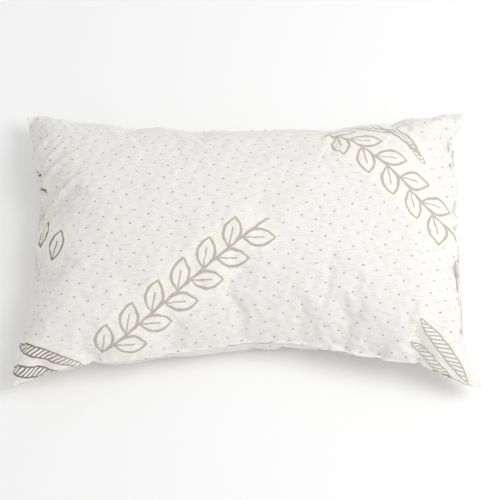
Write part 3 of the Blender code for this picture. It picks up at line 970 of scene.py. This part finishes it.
def stitch_tree():
    """Spindle-shaped stitches at even steps along a route, each lying the way the route says."""
    sizes = (("Pitch", "Float"), ("Stitch", "Float"), ("Thread", "Float"))
    tree, start, end = new_tree("row_of_stitches", (("Route", "Geometry"), *sizes, ("Finish", "Material")))
    curve = add_node(tree, "GeometryNodeMeshToCurve", {0: start.outputs["Route"]})
    steps = {"Curve": curve, "Length": start.outputs["Pitch"]}
    spaced = add_node(tree, "GeometryNodeResampleCurve", steps, mode="LENGTH")
    lay = add_node(tree, "GeometryNodeInputNamedAttribute", {"Name": "lay"}, data_type="FLOAT_VECTOR")
    way = {"Vector": lay.outputs["Attribute"]}
    turned = add_node(tree, "FunctionNodeAlignRotationToVector", way, axis="Z")
    thin = add_node(tree, "ShaderNodeMath", {0: start.outputs["Thread"], 1: 0.5}, operation="MULTIPLY")
    long = add_node(tree, "ShaderNodeMath", {0: start.outputs["Stitch"], 1: 0.5}, operation="MULTIPLY")
    size = add_node(tree, "ShaderNodeCombineXYZ", {"X": thin, "Y": thin, "Z": long})
    spindle = add_node(tree, "GeometryNodeMeshUVSphere", {"Segments": 6, "Rings": 5, "Radius": 1.0})
    smooth = add_node(tree, "GeometryNodeSetShadeSmooth", {0: spindle.outputs["Mesh"]})
    row = {"Points": spaced, "Instance": smooth, "Rotation": turned, "Scale": size}
    end_tree(tree, start, end, add_node(tree, "GeometryNodeInstanceOnPoints", row))
    return tree


def coil_tree():
    """A filament wound into a flattened coil along Y."""
    inputs = (
        ("Seed point", "Geometry"),
        ("Turns", "Float"),
        ("Length", "Float"),
        ("Radius", "Float"),
        ("Wire", "Float"),
        ("Place", "Vector"),
        ("Flatten", "Vector"),
        ("Finish", "Material"),
    )
    tree, start, end = new_tree("nylon_coil", inputs)
    winding = {
        "Resolution": 8,
        "Rotations": start.outputs["Turns"],
        "Start Radius": start.outputs["Radius"],
        "End Radius": start.outputs["Radius"],
        "Height": start.outputs["Length"],
    }
    spiral = add_node(tree, "GeometryNodeCurveSpiral", winding)
    squash = {"Geometry": spiral, "Scale": start.outputs["Flatten"]}
    flat_spiral = add_node(tree, "GeometryNodeTransform", squash)
    along_zip = (-math.pi / 2, 0, 0)
    move = {"Geometry": flat_spiral, "Translation": start.outputs["Place"], "Rotation": along_zip}
    laid = add_node(tree, "GeometryNodeTransform", move)
    circle = {"Resolution": 6, "Radius": start.outputs["Wire"]}
    ring = add_node(tree, "GeometryNodeCurvePrimitiveCircle", circle)
    sweep = {"Curve": laid, "Profile Curve": ring.outputs["Curve"], "Fill Caps": True}
    wire = add_node(tree, "GeometryNodeCurveToMesh", sweep)
    end_tree(tree, start, end, add_node(tree, "GeometryNodeSetShadeSmooth", {0: wire}))
    return tree


def shred_tree():
    """Torn blocks of foam on points, each turned and sized by chance."""
    sizes = (("Smallest", "Float"), ("Largest", "Float"), ("Seed", "Int"))
    tree, start, end = new_tree("foam_shreds", (("Points", "Geometry"), *sizes, ("Finish", "Material")))
    cuts = {"Size": (1.0, 0.8, 0.6), "Vertices X": 3, "Vertices Y": 3, "Vertices Z": 3}
    block = add_node(tree, "GeometryNodeMeshCube", cuts)
    noise = add_node(tree, "ShaderNodeTexNoise", {"Scale": 2.3, "Detail": 1.0})
    centred = {0: noise.outputs["Color"], 1: (0.5, 0.5, 0.5)}
    pushed = add_node(tree, "ShaderNodeVectorMath", centred, operation="SUBTRACT")
    torn = add_node(tree, "GeometryNodeSetPosition", {"Geometry": block.outputs["Mesh"], "Offset": pushed})
    any_way = {"Min": (0, 0, 0), "Max": (math.tau, math.tau, math.tau), "Seed": start.outputs["Seed"]}
    turn = add_node(tree, "FunctionNodeRandomValue", any_way, data_type="FLOAT_VECTOR")
    size = tree.nodes.new("FunctionNodeRandomValue")
    size.data_type = "FLOAT"
    for key, label in ((2, "Smallest"), (3, "Largest"), (8, "Seed")):
        tree.links.new(start.outputs[label], size.inputs[key])
    heap = {"Points": start.outputs["Points"], "Instance": torn}
    heap |= {"Rotation": turn.outputs[0], "Scale": size.outputs[1]}
    end_tree(tree, start, end, add_node(tree, "GeometryNodeInstanceOnPoints", heap))
    return tree


def grow(name, tree, base, values):
    """Runs a tree on a base mesh with these inputs, and keeps the result as a plain mesh."""
    holder = bpy.data.objects.new(name + "_base", base)
    bpy.context.scene.collection.objects.link(holder)
    modifier = holder.modifiers.new("grow", "NODES")
    modifier.node_group = tree
    for item in tree.interface.items_tree:
        if item.in_out == "INPUT" and item.name in values:
            modifier[item.identifier] = values[item.name]
    bpy.context.view_layer.update()
    evaluated = holder.evaluated_get(bpy.context.evaluated_depsgraph_get())
    grown = bpy.data.meshes.new_from_object(evaluated)
    grown.name = name
    bpy.data.objects.remove(holder)
    piece = bpy.data.objects.new(name, grown)
    bpy.context.scene.collection.objects.link(piece)
    return piece


def route_mesh(points, lay):
    mesh = bpy.data.meshes.new("route")
    mesh.from_pydata(points, [(k, k + 1) for k in range(len(points) - 1)], [])
    attribute = mesh.attributes.new("lay", "FLOAT_VECTOR", "POINT")
    attribute.data.foreach_set("vector", np.asarray(lay, np.float32).ravel())
    return mesh


def stitch_row(name, points, lay, sizes, finish):
    """Stitches of these sizes along a route. Each lies the way given for its place."""
    values = dict(zip(("Pitch", "Stitch", "Thread"), sizes), Finish=finish)
    return grow(name, STITCH_TREE, route_mesh(points, lay), values)


# ------------------------------------------------------------------ cover, zip, label, liner and fill

# Rows of stitches: from one stitch to the next, a stitch's length, and the thread's thickness.
COVER_STITCHES = (0.0030, 0.0022, 0.00045)
HEM_STITCHES = (0.0032, 0.0026, 0.0005)
LINER_STITCHES = (0.0036, 0.0030, 0.0005)
SEAM_PROUD = 0.0005


def seam_outline(grid):
    """The seam round the three sewn sides, from the zip's side and back to it."""
    return np.concatenate([grid[::-1, -1], grid[0, -2:0:-1], grid[:, 0]])


def add_cover(top, under, flat, finish):
    """Both panels of the cover. The underside's pattern is the top's, mirrored."""
    for name, node, outer, other, side in (
        ("cover_top", "cover_top_panel", top, under, 1),
        ("cover_underside", "cover_bottom_panel", under, top, -1),
    ):
        inner = wall(outer, other, side, FABRIC)
        panel = shell(name, outer, inner, flat * np.array([side, 1]), side)
        settle(panel, "pillow", "knitted_cover", finish, node)


def add_cover_seam(top, under, thread):
    """A ladder of seam stitches that shows in the groove between the two panels."""
    first = len(EDGE_LINES)
    border = ((first, first), (first, first), (0, 0))
    closed = 0.5 * (seam_outline(top) + seam_outline(under))
    upper, lower = (
        seam_outline(np.pad(grid[first:-first, first:-first], border, "edge")) for grid in (top, under)
    )
    across = unit(upper - lower)
    outwards = unit(closed - 0.5 * (upper + lower))
    points = closed + SEAM_PROUD * outwards
    piece = stitch_row("cover_seam_stitches", points, across, COVER_STITCHES, thread)
    return settle(piece, "pillow", "sewing_thread", thread, "cover_seam_thread")


# The rows on the hems end this far from the tapes' ends, and lie this far above and below the hems'
# edges.
HEM_MARGIN = 0.004
HEM_STITCH_RISE = 0.003
HEM_STITCH_PROUD = 0.0001
COIL_PITCH = 0.0012
COIL_WIRE = 0.00025


def add_zip(thread, tape, nylon, nickel):
    """The zip: its tapes and stops as they are, the rows that hold the tapes, wound coils, and the
    slider and its pull with rounded edges."""
    for level, side in (("upper", 1), ("lower", -1)):
        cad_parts["zip_tape_" + level].material_slots[0].material = tape
        reach = ZIP_REACH - HEM_MARGIN
        height = SEAM_HEIGHT + side * (HEM_RISE + HEM_STITCH_RISE)
        points = [(SIDE_X + HEM_STITCH_PROUD, y, height) for y in np.linspace(-reach, reach, 60)]
        lay = [(0, 1, 0)] * len(points)
        row = stitch_row("zip_stitches_" + level, points, lay, HEM_STITCHES, thread)
        settle(row, "pillow", "sewing_thread", thread, "zip_stitching_" + level)
        low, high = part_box("zip_coil_" + level)
        radius = (high.z - low.z) / 2 - COIL_WIRE
        squash_x = ((high.x - low.x) / 2 - COIL_WIRE) / radius
        values = {
            "Turns": (high.y - low.y) / COIL_PITCH,
            "Length": high.y - low.y,
            "Radius": radius,
            "Wire": COIL_WIRE,
            "Place": ((low.x + high.x) / 2, low.y, (low.z + high.z) / 2),
            "Flatten": (squash_x, 1.0, 1.0),
            "Finish": nylon,
        }
        coil = grow("zip_coil_turns_" + level, coil_tree(), bpy.data.meshes.new("none"), values)
        settle(coil, "pillow", "nylon_coil", nylon, "zip_coil_" + level)
    for name in ("zip_top_stop_upper", "zip_top_stop_lower", "zip_bottom_stop"):
        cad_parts[name].material_slots[0].material = nickel
    softened("zip_slider", "zip_slider_body", "slider", nickel)
    softened("zip_pull", "zip_pull_tab", "pull", nickel)


EDGE_ROUND = 0.0002
SHARP_ANGLE = math.radians(35)
SHADING_ANGLE = math.radians(40)


def softened(name, node, body, finish):
    """A solid with its edges rounded, as casting and tumbling leave them."""
    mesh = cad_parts[node].data.copy()
    mesh.name = name
    work = bmesh.new()
    work.from_mesh(mesh)
    bmesh.ops.remove_doubles(work, verts=work.verts, dist=1e-6)
    bmesh.ops.dissolve_limit(work, angle_limit=math.radians(1), verts=work.verts, edges=work.edges)
    closed = [edge for edge in work.edges if len(edge.link_faces) == 2]
    sharp = [edge for edge in closed if edge.calc_face_angle() > SHARP_ANGLE]
    bmesh.ops.bevel(
        work, geom=sharp, offset=EDGE_ROUND, segments=2, profile=0.5, affect="EDGES", clamp_overlap=True
    )
    work.to_mesh(mesh)
    work.free()
    mesh.shade_smooth()
    mesh.set_sharp_from_angle(angle=SHADING_ANGLE)
    piece = bpy.data.objects.new(name, mesh)
    bpy.context.scene.collection.objects.link(piece)
    return settle(piece, body, "nickel", finish, node)


LABEL_WIDTH = 0.030
LABEL_DROP = 0.042
LABEL_SKIN = 0.0002
# The seam makes the label stand out, its weight brings it back, and its edges wave.
LABEL_STAND_OUT = 0.0062
LABEL_FALL_BACK = 0.0015
LABEL_WAVE = 0.0012
LABEL_LAYERS_APART = 0.0007
# How far in its ends are sewn, how far apart they are, and how far down it turns, in drops.
LABEL_SEWN_IN = 0.001
LABEL_ENDS_APART = 0.0012
LABEL_TURN = 1.004
LABEL_ROWS = 22
LABEL_COLUMNS = 13


def add_label(top, finish):
    """A blank satin label, folded in two, with both ends caught in the back seam."""
    low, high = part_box("care_label")
    middle_x = (low.x + high.x) / 2
    seam = top[:, -1]
    across = np.linspace(-0.5, 0.5, LABEL_COLUMNS)
    anchor_x = middle_x + across * LABEL_WIDTH
    anchor_y = np.interp(anchor_x, seam[:, 0], seam[:, 1])
    anchor_z = np.interp(anchor_x, seam[:, 0], seam[:, 2])
    down = np.linspace(0, 1, LABEL_ROWS)
    fall = np.concatenate([down, [LABEL_TURN], down[::-1]])
    layer = np.concatenate([np.ones(LABEL_ROWS), [0.5], np.zeros(LABEL_ROWS)])
    out = LABEL_STAND_OUT * np.sin(np.minimum(fall * 2.2, 1) * math.pi / 2) - LABEL_FALL_BACK * fall
    wave = LABEL_WAVE * np.sin(across * 5.0 + 0.6)[None, :] * fall[:, None]
    y = anchor_y - LABEL_SEWN_IN + (out + layer * LABEL_LAYERS_APART)[:, None] + wave
    z = anchor_z + (LABEL_ENDS_APART * (layer - 0.5) - fall * LABEL_DROP)[:, None]
    x = np.broadcast_to(anchor_x, y.shape)
    outer = np.stack([x, y, z], -1)
    inner = outer - LABEL_SKIN * normals(outer)
    length = np.linspace(0, 2 * LABEL_DROP, len(fall))
    flat_x = np.broadcast_to(across * LABEL_WIDTH, y.shape)
    flat = np.stack([flat_x, np.broadcast_to(length[:, None], y.shape)], -1)
    label = shell("satin_label", outer, inner, flat, 1)
    settle(label, "pillow", "satin_label", finish, "care_label")
    return label


# The liner is cut this many cells smaller than the cover, and lies this far inside it.
LINER_MARGIN = 2.4
LINER_INSET = 0.0055
LINER_LINES = (120, 82)
LINER_ROUNDING = 4.0
LINER_CLOTH = 0.0005
LINER_GAP = 0.0002


def liner_grids(top_points, under_points, flat_points):
    """The liner's middle surface, how far its faces stand off it, and its flat cloth."""
    rows = np.linspace(LINER_MARGIN, CELLS_X - LINER_MARGIN, LINER_LINES[0])
    columns = np.linspace(LINER_MARGIN, CELLS_Y - LINER_MARGIN, LINER_LINES[1])
    upper = resample(top_points, rows, columns)
    lower = resample(under_points, rows, columns)
    flat = resample(flat_points, rows, columns)
    middle = (upper + lower) / 2
    half = (upper - lower) / 2
    depth = np.linalg.norm(half, axis=-1, keepdims=True)
    from_end, from_side = (np.minimum(np.arange(n), np.arange(n)[::-1]) for n in LINER_LINES)
    near = np.clip(np.minimum(from_end[:, None], from_side) / LINER_ROUNDING, 0, 1)[..., None]
    full = np.sqrt(1 - (1 - near) ** 2)
    half *= full * np.maximum(depth - LINER_INSET, 0.001) / depth
    return middle, half, flat


def add_liner(middle, half, flat, finish, thread):
    gap = LINER_GAP * unit(half + np.array([0, 0, 1e-6]))
    upper = middle + half + gap
    lower = middle - half - gap
    for name, node, outer, other, side in (
        ("liner_top", "liner_top_panel", upper, lower, 1),
        ("liner_underside", "liner_bottom_panel", lower, upper, -1),
    ):
        panel = shell(name, outer, wall(outer, other, side, LINER_CLOTH), flat, side)
        settle(panel, "pillow", "liner_cloth", finish, node)
    points = seam_outline(middle)
    points = np.concatenate([points, middle[-1, 1:]])
    lay = np.gradient(points, axis=0)
    row = stitch_row("liner_seam_stitches", points, lay, LINER_STITCHES, thread)
    settle(row, "pillow", "sewing_thread", thread, "liner_seam_thread")


# How many shreds are thrown in, how far from the liner's seam in grid lines, how close they pack
# towards the liner's skin, how near to it a shred's middle may come, and their sizes.
SHREDS = 5200
SHRED_MARGIN = 4
SHRED_PACKING = 0.4
SHRED_ROOM = 0.0155
SMALLEST_SHRED = 0.010
LARGEST_SHRED = 0.019


def add_fill(middle, half, finish):
    """A heap of foam shreds that fills the liner, packed closer towards its skin."""
    random = np.random.default_rng(21)
    last = np.array(middle.shape[:2]) - 1 - SHRED_MARGIN
    i = random.uniform(SHRED_MARGIN, last[0], SHREDS).astype(int)
    j = random.uniform(SHRED_MARGIN, last[1], SHREDS).astype(int)
    level = random.uniform(-1, 1, SHREDS)
    level = np.sign(level) * np.abs(level) ** SHRED_PACKING
    reach = half[i, j]
    depth = np.linalg.norm(reach, axis=-1)
    room = np.maximum(depth - SHRED_ROOM, 0) / depth
    points = middle[i, j] + reach * (room * level)[:, None]
    skin = np.concatenate([(middle + half).reshape(-1, 3), (middle - half).reshape(-1, 3)])
    casing = KDTree(len(skin))
    for k, place in enumerate(skin):
        casing.insert(place, k)
    casing.balance()
    points = [place for place in points if casing.find(place)[2] > SHRED_ROOM]
    mesh = bpy.data.meshes.new("shred_places")
    mesh.from_pydata(points, [], [])
    values = {"Smallest": SMALLEST_SHRED, "Largest": LARGEST_SHRED, "Seed": 7, "Finish": finish}
    heap = grow("foam_shreds", shred_tree(), mesh, values)
    settle(heap, "pillow", "foam", finish, "foam_fill")


# ------------------------------------------------------------------ putting it together

add_camera()
add_studio()
STITCH_TREE = stitch_tree()
knit = knitted_jacquard()
thread = spun_thread()

top_points, under_points, flat_points = simulate_cover()
top, under, flat = shape_panels(top_points, under_points, flat_points)
add_cover(top, under, flat, knit)
add_cover_seam(top, under, thread)
add_zip(thread, herringbone_tape(), drawn_nylon(), tumbled_nickel())
label = add_label(top, satin_ribbon())
middle, half, liner_flat = liner_grids(top_points, under_points, flat_points)
add_liner(middle, half, liner_flat, plain_weave(), thread)
add_fill(middle, half, torn_foam())
